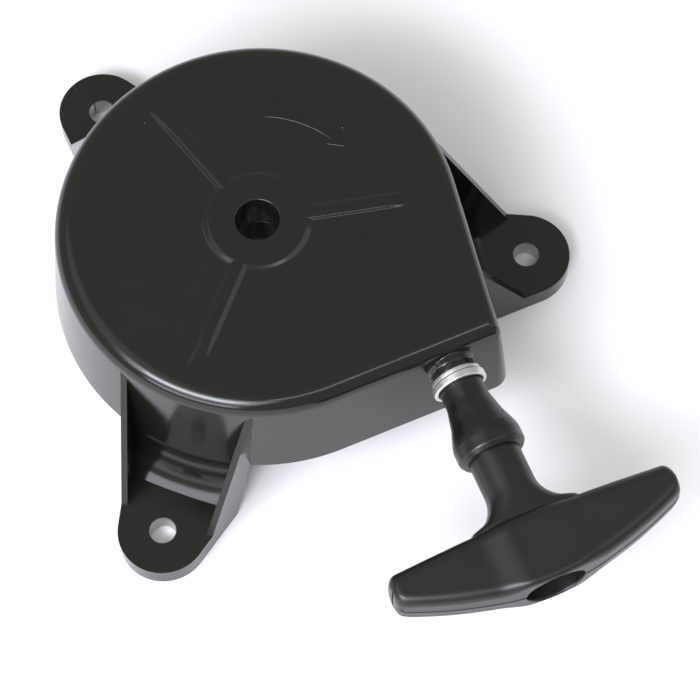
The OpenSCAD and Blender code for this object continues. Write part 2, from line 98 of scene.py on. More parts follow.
def tidy_normals(obj: Obj, merge_mm: float = 0.002) -> None:
    """Merges doubled points and turns every face outwards.

    Args:
        obj: The object whose mesh is tidied.
        merge_mm: Distance within which points become one.
    """
    work = bmesh.new()
    work.from_mesh(obj.data)
    bmesh.ops.remove_doubles(work, verts=work.verts, dist=merge_mm * MM)
    bmesh.ops.recalc_face_normals(work, faces=work.faces)
    work.to_mesh(obj.data)
    work.free()


def shade(obj: Obj, crease_deg: float = 32.0) -> Obj:
    """Shades a mesh smooth, with edges sharper than a crease angle left crisp.

    Args:
        obj: The object to shade.
        crease_deg: Angle between faces above which an edge stays crisp.

    Returns:
        The same object.
    """
    obj.data.shade_smooth()
    obj.data.set_sharp_from_angle(angle=math.radians(crease_deg))
    return obj


def bake(obj: Obj) -> Obj:
    """Turns an object with live modifiers into a plain mesh and returns it."""
    graph = bpy.context.evaluated_depsgraph_get()
    data = bpy.data.meshes.new_from_object(obj.evaluated_get(graph))
    data.name = obj.name
    obj.modifiers.clear()
    obj.data = data
    return obj


def combine(obj: Obj, tool: Obj, cut: Cut) -> Obj:
    """Combines two closed meshes and removes the tool.

    Args:
        obj: The object that keeps the result.
        tool: The object that cuts, keeps or joins, used up by this.
        cut: How the two are combined.

    Returns:
        The object with its new mesh.
    """
    change = obj.modifiers.new("combine", "BOOLEAN")
    change.operation = cut.value
    change.solver = "EXACT"
    change.object = tool
    bake(obj)
    bpy.data.objects.remove(tool)
    return obj


def soften(obj: Obj, width_mm: float, steps: int = 3,
           angle_deg: float = 35.0) -> Obj:
    """Rounds a mesh's edges as a mould or a tumbling barrel would.

    Args:
        obj: The object, with clean flat faces.
        width_mm: Width of each rounded edge.
        steps: Number of faces across each rounding.
        angle_deg: Edges sharper than this are rounded.

    Returns:
        The object with its roundings in its mesh.
    """
    work = bmesh.new()
    work.from_mesh(obj.data)
    bmesh.ops.remove_doubles(work, verts=work.verts, dist=0.003 * MM)
    bmesh.ops.dissolve_limit(work, angle_limit=math.radians(0.6), verts=work.verts,
                             edges=work.edges, use_dissolve_boundaries=False)
    work.to_mesh(obj.data)
    work.free()
    obj.data.shade_smooth()
    bevel = obj.modifiers.new("soften", "BEVEL")
    bevel.width = width_mm * MM
    bevel.segments = steps
    bevel.limit_method = "ANGLE"
    bevel.angle_limit = math.radians(angle_deg)
    bevel.harden_normals = True
    bevel.use_clamp_overlap = True
    return bake(obj)


def copy_of_node(node: str, name: str) -> Obj:
    """Makes a merged copy of a CAD node, ready to be softened.

    Args:
        node: Name of the CAD node.
        name: Name of the new piece.

    Returns:
        The new object at the origin.
    """
    obj = bpy.data.objects.new(name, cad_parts[node].data.copy())
    obj.data.materials.clear()
    bpy.context.scene.collection.objects.link(obj)
    tidy_normals(obj)
    return obj


# ---------------------------------------------------------------- shape helpers

def rounded(points: list[Flat], radii: list[float], guard: float = 0.25,
            step_deg: float = 11.0) -> list[Flat]:
    """Rounds the corners of an open line with true tangent arcs.

    Args:
        points: Corners of the line.
        radii: Radius at each corner, 0 for a sharp one.
        guard: Distance of the extra point that keeps the flat beside an arc flat.
        step_deg: Largest turn between two points of an arc.

    Returns:
        The points of the rounded line.
    """
    line = [points[0]]
    for i in range(1, len(points) - 1):
        here = Vector(points[i])
        back = (Vector(points[i - 1]) - here)
        ahead = (Vector(points[i + 1]) - here)
        turn = math.pi - back.angle(ahead)
        if radii[i] <= 0 or turn < 0.02:
            line.append(tuple(here))
            continue
        reach = radii[i] * math.tan(turn / 2)
        back.normalize()
        ahead.normalize()
        middle = here + (back + ahead).normalized() * (radii[i] / math.cos(turn / 2))
        first = here + back * reach
        last = here + ahead * reach
        line.append(tuple(first + back * guard))
        a = math.atan2(first.y - middle.y, first.x - middle.x)
        b = math.atan2(last.y - middle.y, last.x - middle.x)
        sweep = (b - a + math.pi) % (2 * math.pi) - math.pi
        count = max(2, math.ceil(math.degrees(turn) / step_deg))
        line += [(middle.x + radii[i] * math.cos(a + sweep * k / count),
                  middle.y + radii[i] * math.sin(a + sweep * k / count)) for k in range(count + 1)]
        line.append(tuple(last + ahead * guard))
    line.append(points[-1])
    return line


def loft(rings: list[list[Point]], closed_path: bool = False) -> tuple[list[Point], list[list[int]]]:
    """Joins rings of equal length into a skin, with flat ends unless the path closes.

    Args:
        rings: The rings in order.
        closed_path: True if the last ring joins the first.

    Returns:
        Points and faces of the skin.
    """
    size = len(rings[0])
    points = [p for ring in rings for p in ring]
    faces = []
    spans = len(rings) if closed_path else len(rings) - 1
    for i in range(spans):
        a = i * size
        b = ((i + 1) % len(rings)) * size
        faces += [[a + j, a + (j + 1) % size, b + (j + 1) % size, b + j] for j in range(size)]
    if not closed_path:
        faces.append(list(range(size))[::-1])
        faces.append([(len(rings) - 1) * size + j for j in range(size)])
    return points, faces


def turned(name: str, profile: list[Flat], place: Matrix, around: int = 96,
           closed: bool = False) -> Obj:
    """Turns a profile about an axis, as on a lathe.

    Args:
        name: Name of the new piece.
        profile: Radius and height of each point, in millimetres.
        place: Where the axis stands, in millimetres.
        around: Number of points around the axis.
        closed: True if the profile is a closed loop that never meets the axis.

    Returns:
        The turned object.
    """
    rings = []
    for r, h in profile:
        rings.append([tuple(place @ Vector((max(r, 0.001) * math.cos(2 * math.pi * k / around),
                                            max(r, 0.001) * math.sin(2 * math.pi * k / around), h)))
                      for k in range(around)])
    return mesh_object(name, *loft(rings, closed))


def prism(name: str, outline: list[Flat], low: float, high: float) -> Obj:
    """Raises a flat outline into a prism.

    Args:
        name: Name of the new piece.
        outline: Corners of the outline.
        low: Height of its lower face.
        high: Height of its upper face.

    Returns:
        The prism.
    """
    return mesh_object(name, *loft([[(x, y, low) for x, y in outline],
                                    [(x, y, high) for x, y in outline]]))


def side_prism(name: str, outline: list[Flat], half: float) -> Obj:
    """Extrudes an outline that is seen from the side, equally to both sides of Y = 0."""
    return mesh_object(name, *loft([[(x, -half, z) for x, z in outline],
                                    [(x, half, z) for x, z in outline]]))


def arc(centre: Flat, radius: float, start_deg: float, end_deg: float, count: int) -> list[Flat]:
    """Returns points on an arc, both ends included, for angles in degrees."""
    angles = [math.radians(start_deg + (end_deg - start_deg) * k / count) for k in range(count + 1)]
    return [(centre[0] + radius * math.cos(a), centre[1] + radius * math.sin(a)) for a in angles]


def ease(value: float, low: float, high: float) -> float:
    """Returns a smooth step from 0 at low to 1 at high."""
    t = min(max((value - low) / (high - low), 0.0), 1.0)
    return t * t * (3 - 2 * t)


def about_z(obj: Obj, angle_deg: float) -> Obj:
    """Turns a mesh about the reel's axis, with the object left unturned, and returns it."""
    obj.data.transform(Matrix.Rotation(math.radians(angle_deg), 4, "Z"))
    return obj


# ---------------------------------------------------------------- finishes

def linear(colour: str) -> tuple[float, float, float, float]:
    """Turns an sRGB hex colour into the linear values that shaders use."""
    parts = [int(colour[i:i + 2], 16) / 255 for i in (1, 3, 5)]
    return tuple([c / 12.92 if c <= 0.04045 else ((c + 0.055) / 1.055) ** 2.4 for c in parts] + [1.0])


def add(tree: Tree, kind: str, settings: dict | None = None,
        inputs: dict | None = None) -> bpy.types.Node:
    """Adds a node with its settings and its links or values.

    Args:
        tree: The node tree.
        kind: Blender's name for the node.
        settings: Attributes of the node.
        inputs: Value or output socket for each input, by name or number.

    Returns:
        The new node.
    """
    made = tree.nodes.new(kind)
    for key, value in (settings or {}).items():
        setattr(made, key, value)
    for key, value in (inputs or {}).items():
        if isinstance(value, Socket):
            tree.links.new(value, made.inputs[key])
        else:
            made.inputs[key].default_value = value
    return made


class Finish:
    """A procedural material, made once and shared by the pieces that wear it."""

    name: str

    def dress(self, obj: Obj) -> None:
        """Puts this finish on every slot of an object."""
        made = bpy.data.materials.get(self.name) or self.build()
        if obj.data.materials:
            for i in range(len(obj.data.materials)):
                obj.data.materials[i] = made
        else:
            obj.data.materials.append(made)

    def start(self) -> tuple[Tree, Socket]:
        """Makes the empty material and returns its tree and its Object coordinates."""
        made = bpy.data.materials.new(self.name)
        made.use_nodes = True
        made.node_tree.nodes.clear()
        where = add(made.node_tree, "ShaderNodeTexCoord")
        return made.node_tree, where.outputs["Object"]

    def build(self) -> bpy.types.Material:
        """Builds the material."""
        raise NotImplementedError

    def close(self, tree: Tree, inputs: dict) -> bpy.types.Material:
        """Ends the tree in a Principled shader with the given inputs."""
        shader = add(tree, "ShaderNodeBsdfPrincipled", None, inputs)
        add(tree, "ShaderNodeOutputMaterial", None, {"Surface": shader.outputs["BSDF"]})
        return bpy.data.materials[self.name]


def noise(tree: Tree, where: Socket, size_mm: float,
          detail: float = 2.0) -> Socket:
    """Adds a cloudy pattern whose blotches have a real size.

    Args:
        tree: The material's tree.
        where: Coordinates in metres.
        size_mm: Size of a blotch.
        detail: Number of finer layers.

    Returns:
        The pattern's value.
    """
    made = add(tree, "ShaderNodeTexNoise", None,
               {"Vector": where, "Scale": 1 / (size_mm * MM), "Detail": detail, "Roughness": 0.55})
    return made.outputs["Fac"]


def spread(tree: Tree, value: Socket, source: Flat,
           result: Flat) -> Socket:
    """Maps a pattern's range to another range and returns the new value."""
    made = add(tree, "ShaderNodeMapRange", {"clamp": True},
               {"Value": value, "From Min": source[0], "From Max": source[1],
                "To Min": result[0], "To Max": result[1]})
    return made.outputs["Result"]


def blend_colours(tree: Tree, share: Socket, first,
                  second) -> Socket:
    """Mixes two colours by a pattern and returns the mixed colour.

    Args:
        tree: The material's tree.
        share: 0 for the first colour, 1 for the second.
        first: Colour or socket.
        second: Colour or socket.

    Returns:
        The mixed colour.
    """
    made = add(tree, "ShaderNodeMix", {"data_type": "RGBA"}, {"Factor": share, 6: first, 7: second})
    return made.outputs[2]


def mottled(tree: Tree, where: Socket, cloud_mm: float, detail: float, source: Flat, most: float,
            clean: str, stain: str) -> tuple[Socket, Socket]:
    """Mixes two colours by a cloudy pattern.

    Args:
        tree: The material's tree.
        where: Coordinates in metres.
        cloud_mm: Size of a blotch.
        detail: Number of finer layers.
        source: Range of the pattern over which the stain comes in.
        most: Largest share of the stain.
        clean: Hex colour without stain.
        stain: Hex colour of the stain.

    Returns:
        The pattern and the mixed colour.
    """
    cloud = noise(tree, where, cloud_mm, detail)
    share = spread(tree, cloud, source, (0.0, most))
    return cloud, blend_colours(tree, share, linear(clean), linear(stain))


def bump(tree: Tree, height: Socket, depth_mm: float,
         below: Socket | None = None) -> Socket:
    """Adds relief of a real depth and returns the bent normal.

    Args:
        tree: The material's tree.
        height: Pattern from 0 to 1.
        depth_mm: Height of the pattern.
        below: Normal of the relief that this one lies on.

    Returns:
        The bent normal.
    """
    inputs = {"Height": height, "Distance": depth_mm * MM, "Strength": 1.0}
    if below is not None:
        inputs["Normal"] = below
    return add(tree, "ShaderNodeBump", None, inputs).outputs["Normal"]


@dataclass(frozen=True)
class MouldedPlastic(Finish):
    """Black glass-filled nylon from a polished or a grained mould.

    The eye sees a near-black body colour under a clear gloss, slow waves where the
    plastic shrank over the ribs, fine grain, and a few pale dust specks and rubs.
    """

    name: str
    colour: str
    rub_colour: str
    roughness: float
    grain_mm: float
    grain_depth_mm: float
    wave_depth_mm: float
    speck_share: float

    def build(self) -> bpy.types.Material:
        """Builds the plastic and returns its material."""
        tree, where = self.start()
        body = mottled(tree, where, 22.0, 3.0, (0.3, 0.7), 0.35, self.colour, self.rub_colour)[1]
        cells = add(tree, "ShaderNodeTexVoronoi", {"feature": "F1"},
                    {"Vector": where, "Scale": 1 / (2.4 * MM), "Randomness": 1.0})
        tiny = spread(tree, cells.outputs["Distance"], (0.055, 0.075), (1.0, 0.0))
        picked = add(tree, "ShaderNodeSeparateColor", None, {0: cells.outputs["Color"]})
        few = add(tree, "ShaderNodeMath", {"operation": "LESS_THAN"},
                  {0: picked.outputs[0], 1: self.speck_share})
        speck = add(tree, "ShaderNodeMath", {"operation": "MULTIPLY"},
                    {0: tiny, 1: few.outputs[0]}).outputs[0]
        colour = blend_colours(tree, speck, body, linear("#9c9a94"))
        rubbed = noise(tree, where, 7.0, 4.0)
        gloss = spread(tree, rubbed, (0.35, 0.75), (self.roughness, self.roughness + 0.07))
        slow = bump(tree, noise(tree, where, 16.0, 0.0), self.wave_depth_mm)
        grain = bump(tree, noise(tree, where, self.grain_mm, 2.0), self.grain_depth_mm, slow)
        return self.close(tree, {"Base Color": colour, "Roughness": gloss, "IOR": 1.5, "Normal": grain})


@dataclass(frozen=True)
class Rubber(Finish):
    """Compression-moulded black rubber: soft sheen, dusty bloom and a very fine grain."""

    name: str
    colour: str
    bloom: str
    roughness: float

    def build(self) -> bpy.types.Material:
        """Builds the rubber and returns its material."""
        tree, where = self.start()
        cloud, colour = mottled(tree, where, 5.0, 4.0, (0.4, 0.8), 0.6, self.colour, self.bloom)
        gloss = spread(tree, cloud, (0.3, 0.7), (self.roughness - 0.05, self.roughness + 0.08))
        grain = bump(tree, noise(tree, where, 0.5, 2.0), 0.012)
        return self.close(tree, {"Base Color": colour, "Roughness": gloss, "IOR": 1.52, "Normal": grain})


class Working(Enum):
    """How a metal's surface was made, which sets the direction of its fine lines."""

    TURNED = "rings about an axis"
    ROLLED = "long lines along the strip"
    TUMBLED = "no direction"


@dataclass(frozen=True)
class Metal(Finish):
    """A plain or plated metal: coloured reflections broken by fine working marks."""

    name: str
    colour: str
    stain: str
    roughness: float
    working: Working = Working.TUMBLED
    line_mm: float = 0.25
    line_depth_mm: float = 0.004
    centre_mm: Point = (0.0, 0.0, 0.0)
    axis_turn_deg: Point = (0.0, 0.0, 0.0)

    def build(self) -> bpy.types.Material:
        """Builds the metal and returns its material."""
        tree, where = self.start()
        colour = mottled(tree, where, 3.5, 4.0, (0.35, 0.75), 1.0, self.colour, self.stain)[1]
        gloss = spread(tree, noise(tree, where, 1.6, 3.0), (0.3, 0.7),
                       (self.roughness - 0.05, self.roughness + 0.08))
        centred = add(tree, "ShaderNodeMapping", {"vector_type": "TEXTURE"},
                      {"Vector": where, "Location": tuple(MM * c for c in self.centre_mm),
                       "Rotation": tuple(math.radians(a) for a in self.axis_turn_deg)}).outputs[0]
        if self.working is Working.TURNED:
            rings = add(tree, "ShaderNodeTexWave",
                        {"wave_type": "RINGS", "rings_direction": "Z", "wave_profile": "SIN"},
                        {"Vector": centred, "Scale": 0.314 / (self.line_mm * MM),
                         "Distortion": 1.2, "Detail": 2.0})
            marks = rings.outputs["Fac"]
        elif self.working is Working.ROLLED:
            flat = add(tree, "ShaderNodeMapping", {"vector_type": "POINT"},
                       {"Vector": centred, "Scale": (0.05, 0.05, 1.0)}).outputs[0]
            marks = noise(tree, flat, self.line_mm, 2.0)
        else:
            marks = noise(tree, where, self.line_mm, 3.0)
        relief = bump(tree, marks, self.line_depth_mm)
        return self.close(tree, {"Base Color": colour, "Metallic": 1.0, "Roughness": gloss,
                                 "Normal": relief})


@dataclass(frozen=True)
class Nylon(Finish):
    """Natural injection-moulded nylon: milky, slightly see-through at thin edges."""

    name: str
    colour: str
    grease: str

    def build(self) -> bpy.types.Material:
        """Builds the nylon and returns its material."""
        tree, where = self.start()
        cloud, colour = mottled(tree, where, 9.0, 4.0, (0.45, 0.8), 0.5, self.colour, self.grease)
        gloss = spread(tree, cloud, (0.3, 0.7), (0.34, 0.46))
        grain = bump(tree, noise(tree, where, 0.9, 2.0), 0.01)
        return self.close(tree, {"Base Color": colour, "Roughness": gloss, "IOR": 1.53,
                                 "Subsurface Weight": 0.12, "Subsurface Radius": (1.0, 0.9, 0.7),
                                 "Subsurface Scale": 0.8 * MM, "Normal": grain})


@dataclass(frozen=True)
class BraidedRope(Finish):
    """Braided white nylon cord: matt fibres with a soft sheen and grey handling dirt."""

    name: str
    colour: str
    dirt: str

    def build(self) -> bpy.types.Material:
        """Builds the rope's fibre and returns its material."""
        tree, where = self.start()
        colour = mottled(tree, where, 4.0, 4.0, (0.4, 0.75), 0.7, self.colour, self.dirt)[1]
        # Single fibres are about 0.03 mm thick; they are drawn as 0.15 mm streaks to show.
        fibre = bump(tree, noise(tree, where, 0.15, 2.0), 0.03)
        return self.close(tree, {"Base Color": colour, "Roughness": 0.62, "Sheen Weight": 0.25,
                                 "Sheen Roughness": 0.4, "Normal": fibre})


# ---------------------------------------------------------------- sub-assemblies

@dataclass
class Cup:
    """The moulded cup: drafted wall, rounded top, hub disc, cored hole and inner post."""

    finish: Finish
    rim_r: float = 65.0
    rim_z: float = 24.5
    top_z: float = 62.0
    wall: float = 2.4
    draft_deg: float = 5.5
    top_round: float = 5.6
    corner_in: float = 8.9
    corner_round: float = 5.6
    hub_r: float = 14.9
    hub_bevel: float = 1.8
    relief: float = 0.8
    core_r: float = 6.7
    core_z: float = 48.8
    post_r: float = 10.0
    post_z: float = 40.0
    insert_r: float = 4.63
    round_inside: float = 22.0
    insert_top: float = 47.0

    @property
    def lean(self) -> float:
        """How far the wall leans inwards for each millimetre of height."""
        return math.tan(math.radians(self.draft_deg))

    @property
    def flat_turn(self) -> float:
        """Angle in degrees of the right wall's outward direction."""
        return 2 * math.degrees(math.atan((self.rim_r - self.corner_in) / self.rim_r)) - 90

    def outline(self, r: float, corner: float) -> list[Flat]:
        """Follows the cup's outline at a wall distance from the axis.

        Args:
            r: Distance of the wall from the reel's axis.
            corner: Rounding of the outlet corner.

        Returns:
            Points of the closed outline, always as many.
        """
        turn = self.flat_turn
        mid = math.tan(math.radians((90 + turn) / 2))
        centre = ((r - corner) * mid, -(r - corner))
        ring = arc((0, 0), r, turn, 270, 168)
        bend = arc(centre, corner, -90, turn, 14)
        front = [((1 - k / 16) * ring[-1][0] + k / 16 * bend[0][0], -r) for k in range(1, 16)]
        right = [tuple(Vector(bend[-1]).lerp(Vector(ring[0]), k / 14)) for k in range(1, 14)]
        return ring + front + bend + right

    def ring(self, r: float, z: float, corner: float, fan: list[float]) -> list[Point]:
        """Makes one ring of the shell, round near the axis and outlined further out."""
        if r < self.round_inside:
            return [(r * math.cos(a), r * math.sin(a), z) for a in fan]
        return [(x, y, z) for x, y in self.outline(r, corner)]

    def build(self) -> Obj:
        """Builds the shell as one closed sweep of its profile and returns it."""
        rim, top = self.rim_z, self.top_z
        height = top - rim
        inner = self.rim_r - self.wall
        hub = top + self.relief
        profile = rounded(
            [(0, self.core_z), (self.core_r - 0.5, self.core_z), (self.core_r, hub), (self.hub_r, hub),
             (self.hub_r + self.hub_bevel, top), (self.rim_r - height * self.lean, top),
             (self.rim_r, rim), (inner, rim),
             (inner - (height - self.wall) * self.lean, top - self.wall),
             (self.post_r, top - self.wall), (self.post_r, self.post_z), (self.insert_r, self.post_z),
             (self.insert_r, self.insert_top), (0, self.insert_top)],
            [0, 0.2, 0.45, 1.6, 1.6, self.top_round, 0.5, 0.4, self.top_round - self.wall, 1.0,
             0.5, 0.3, 0.3, 0], step_deg=9.0)
        edge = self.outline(self.rim_r - height * self.lean - self.top_round, 0.3)
        fan = [math.atan2(y, x) for x, y in edge]
        rings = []
        outside = True
        for i, (r, z) in enumerate(profile):
            if i and profile[i - 1][1] <= rim + 0.01 and r < profile[i - 1][0]:
                outside = False
            full = self.corner_round if outside else 0.4 * self.corner_round
            start = self.rim_r if outside else inner
            rings.append(self.ring(max(r, 0.05), z, max(full - (start - r), 0.35), fan))
        return mesh_object("housing_cup", *loft(rings))

    def core_tool(self) -> Obj:
        """Makes the tool that clears the cup's inside up to the middle of its wall."""
        mid = self.rim_r - self.wall / 2
        high = self.top_z - self.rim_z
        rings = []
        for z, r in ((self.rim_z - 0.4, mid), (self.rim_z, mid), (self.top_z, mid - high * self.lean)):
            corner = max(0.7 * self.corner_round - (mid - r), 0.35)
            rings.append([(x, y, z) for x, y in self.outline(r, corner)])
        return mesh_object("core", *loft(rings))

    def finish_off(self, outlet: Matrix) -> Obj:
        """Builds the shell, bores the rope outlet and dresses the shell.

        Args:
            outlet: Place of the rope's line where it leaves the wall.

        Returns:
            The finished shell.
        """
        shell = self.build()
        bore = turned("outlet_bore", [(0, -12), (5.03, -12), (5.03, 12), (0, 12)], outlet, 64)
        combine(shell, bore, Cut.REMOVE)
        shade(shell)
        self.finish.dress(shell)
        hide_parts("housing")
        return shell


@dataclass
class TopRelief:
    """The raised ribs and the rotation arrow on the cup's top face, and the webs under it."""

    finish: Finish
    top_z: float = 62.0
    relief: float = 0.77
    rib_w: float = 4.6
    rib_start: float = 12.0
    rib_end: float = 55.0
    fade_from: float = 38.0
    arrow_r: float = 36.0
    arrow_from: float = 28.0
    arrow_to: float = 64.0
    arrow_w: float = 1.6
    arrow_h: float = 0.4
    web_reach: float = 49.0
    web_z: float = 59.0

    def rib(self, angle_deg: float, name: str) -> Obj:
        """Builds one rib with soft edges that fades into the top face.

        Args:
            angle_deg: Direction of the rib.
            name: Name of the new piece.

        Returns:
            The rib.
        """
        half = self.rib_w / 2
        edge = [(1.1, -0.5), (0.75, 0.0), (0.4, 0.07), (0.1, 0.28), (-0.25, 0.6), (-0.6, 0.88),
                (-0.95, 0.98), (-1.3, 1.0)]
        across = [(-half - y, share) for y, share in edge] + [(0.0, 1.0)]
        across += [(half + y, share) for y, share in reversed(edge)]
        rings = []
        for k in range(45):
            x = self.rib_start + (self.rib_end - self.rib_start) * k / 44
            high = self.relief * (1 - ease(x, self.fade_from, self.rib_end)) - 0.02
            rings.append([(x, y, self.top_z + (share * high if share > 0 else share - 0.02))
                          for y, share in across])
        return about_z(mesh_object(name, *loft(rings)), angle_deg)

    def arrow(self) -> Obj:
        """Builds the arrow that shows which way the reel turns, with soft edges."""
        half = self.arrow_w / 2
        mid = math.radians(self.arrow_from)
        out, along = Vector((math.cos(mid), math.sin(mid))), Vector((math.sin(mid), -math.cos(mid)))
        base = out * self.arrow_r
        line = arc((0, 0), self.arrow_r + half, self.arrow_from, self.arrow_to, 24)
        line += arc((0, 0), self.arrow_r - half, self.arrow_to, self.arrow_from, 24)
        head = [base - out * 3, base + along * 5, base + out * 3]
        plate = prism("rotation_arrow", line + [tuple(p) for p in head], self.top_z - 0.6,
                      self.top_z + self.arrow_h)
        return soften(plate, 0.28, 3)

    def build(self, leg_angles: tuple[float, ...]) -> list[Obj]:
        """Builds and dresses every rib, web and the arrow.

        Args:
            leg_angles: Directions of the ribs in degrees.

        Returns:
            The finished pieces.
        """
        pieces = [shade(self.rib(a, f"top_rib_{i + 1}")) for i, a in enumerate(leg_angles)]
        pieces.append(self.arrow())
        for i, angle in enumerate(leg_angles):
            high = self.web_z + 1.5
            web = side_prism(f"under_web_{i + 1}", [(9, high), (self.web_reach, high),
                                                    (self.web_reach, self.web_z), (9, self.web_z)], 1.0)
            pieces.append(soften(about_z(web, angle), 0.25, 2))
        for piece in pieces:
            self.finish.dress(piece)
        return pieces


@dataclass
class Leg:
    """One leg: two thin gussets, a scooped web between them and a bored pad."""

    finish: Finish
    cup: Cup
    bolt_r: float = 85.5
    pad_r: float = 13.97
    pad_t: float = 8.0
    spread: float = 21.2
    gusset_t: float = 2.0
    web_t: float = 2.5
    foot: float = 72.38
    scoop: float = 2.4
    hole_r: float = 4.63
    lip_r: float = 4.2
    lip_t: float = 0.5
    sleeve_wall: float = 0.5
    sleeve_slit: float = 0.5
    brace_end: float = 82.0
    bury: float = 12.0

    @property
    def round_z(self) -> float:
        """Height at which the cup's top rounding starts."""
        return self.cup.top_z - self.cup.top_round

    @property
    def root(self) -> float:
        """Distance from the axis at which the gussets meet the cup."""
        r = self.cup.rim_r - (self.round_z - self.cup.rim_z) * self.cup.lean
        return math.sqrt(r * r - self.spread ** 2)

    def outline(self, inset: float) -> list[Flat]:
        """Follows the leg from above, inset from its outer faces."""
        gap = self.bolt_r - self.root
        reach = math.hypot(gap, self.spread)
        turn = 180 - math.degrees(math.atan2(self.spread, gap) + math.acos(self.pad_r / reach))
        side = self.spread - inset
        start = self.root - self.bury
        end = arc((self.bolt_r, 0), self.pad_r - inset, turn, -turn, 36)
        return [(start, side), (self.root, side)] + end + [(self.root, -side), (start, -side)]

    def scoop_tool(self) -> Obj:
        """Makes the tool that hollows the leg, with a concave, slightly bowed web."""
        rings = []
        rim, top = self.cup.rim_z, self.cup.top_z + 4
        for k in range(17):
            y = -24 + 48 * k / 16
            ledge = math.sqrt(self.cup.rim_r ** 2 - y * y) + 0.5
            foot = self.foot - y * y / 420
            start, end = Vector((ledge, rim + 0.3)), Vector((foot, self.pad_t))
            pull = (start + end) / 2 + (end - start).orthogonal().normalized() * -2 * self.scoop
            curve = [start * (1 - t) ** 2 + pull * 2 * t * (1 - t) + end * t * t
                     for t in [j / 10 for j in range(11)]]
            side = [(self.root - self.bury - 2, top), (self.root - self.bury - 2, rim + 0.3)]
            side += [tuple(p) for p in curve]
            side += [(self.bolt_r + self.pad_r + 4, self.pad_t), (self.bolt_r + self.pad_r + 4, top)]
            rings.append([(x, y, z) for x, z in side])
        tool = mesh_object("scoop", *loft(rings))
        inner = prism("inner", self.outline(self.gusset_t), -1, top + 1)
        return combine(tool, inner, Cut.KEEP)

    def build(self, angle_deg: float, name: str) -> Obj:
        """Builds, bores, softens and dresses one leg.

        Args:
            angle_deg: Direction of the leg from +X.
            name: Name of the new piece.

        Returns:
            The finished leg.
        """
        rim = self.cup.rim_z
        leg = prism(name, self.outline(0), 0, self.cup.top_z)
        start = self.root - self.bury
        end = self.bolt_r + self.pad_r + 1
        side = side_prism("leg_side", [
            (start, rim + 0.01), (start, self.round_z), (self.root, self.round_z),
            (self.brace_end, self.pad_t), (end, self.pad_t), (end, 0), (self.foot - self.web_t, 0),
            (self.cup.rim_r - self.web_t - 1, rim)], 30)
        combine(leg, side, Cut.KEEP)
        combine(leg, self.scoop_tool(), Cut.REMOVE)
        bolt = Matrix.Translation((self.bolt_r, 0, 0))
        lip = self.pad_t - self.lip_t
        hole = turned("hole", [(0, -2), (self.hole_r, -2), (self.hole_r, lip), (self.lip_r, lip),
                               (self.lip_r, self.pad_t + 2), (0, self.pad_t + 2)], bolt, 56)
        combine(leg, hole, Cut.REMOVE)
        combine(about_z(leg, angle_deg), self.cup.core_tool(), Cut.REMOVE)
        soften(leg, 0.55, 3, 30)
        self.finish.dress(leg)
        return leg

    def sleeve(self, angle_deg: float, name: str) -> Obj:
        """Builds the rolled sleeve in one leg's bolt hole, its open seam facing outwards.

        Args:
            angle_deg: Direction of the leg from +X.
            name: Name of the new piece.

        Returns:
            The sleeve.
        """
        low, high = 0.3, self.pad_t - self.lip_t - 0.02
        outer = self.hole_r - 0.03
        inner = outer - self.sleeve_wall
        corners = rounded([(inner, low), (outer, low), (outer, high), (inner, high)],
                          [0.12] * 4, 0.03, 30)
        half_seam = math.degrees(self.sleeve_slit / 2 / outer)
        rings = []
        for k in range(61):
            a = math.radians(half_seam + (360 - 2 * half_seam) * k / 60)
            rings.append([(self.bolt_r + r * math.cos(a), r * math.sin(a), z) for r, z in corners])
        return about_z(shade(mesh_object(name, *loft(rings))), angle_deg)


@dataclass
class Outlet:
    """The boss on the front wall and the turned metal eyelet pressed into it."""

    boss_finish: Finish
    eyelet_finish: Finish
    place: Matrix
    boss_len: float = 3.2
    boss_r: float = 6.8
    tube_r: float = 5.0
    bore_r: float = 3.0
    back_r: float = 7.9
    rim_r: float = 8.5
    back_t: float = 1.7
    rim_t: float = 4.2
    seat_r: float = 7.2

    def boss(self) -> Obj:
        """Builds the boss with a fillet at its foot and returns it."""
        tube = self.tube_r + 0.03
        profile = rounded([(tube, -3), (self.boss_r + 2.2, -3), (self.boss_r + 1.2, -0.6),
                           (self.boss_r, 0.8), (self.boss_r, self.boss_len - 0.02),
                           (tube, self.boss_len - 0.02), (tube, -3)],
                          [0, 0.2, 1.2, 1.0, 0.5, 0.2, 0], 0.08)
        boss = turned("outlet_boss", profile[:-1], self.place, 72, True)
        self.boss_finish.dress(shade(boss))
        return boss

    def eyelet(self) -> Obj:
        """Builds the eyelet: its tube, its narrow back band and its bright front rim."""
        front = self.boss_len
        groove = front + self.back_t
        end = front + self.rim_t
        profile = rounded(
            [(self.bore_r, -4.9), (self.tube_r - 0.03, -4.9), (self.tube_r - 0.03, front),
             (self.back_r, front), (self.back_r, groove - 0.35), (self.back_r - 0.35, groove - 0.2),
             (self.back_r - 0.35, groove), (self.rim_r, groove + 0.05), (self.rim_r, end),
             (self.seat_r, end), (self.seat_r, groove + 0.3), (self.bore_r, groove), (self.bore_r, -4.9)],
            [0, 0.6, 0, 0.45, 0.2, 0, 0, 0.4, 0.55, 0.4, 0.3, 0.6, 0], 0.06, 15)
        eyelet = turned("eyelet", profile[:-1], self.place, 112, True)
        self.eyelet_finish.dress(shade(eyelet, 40))
        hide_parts("rope_eyelet")
        return eyelet


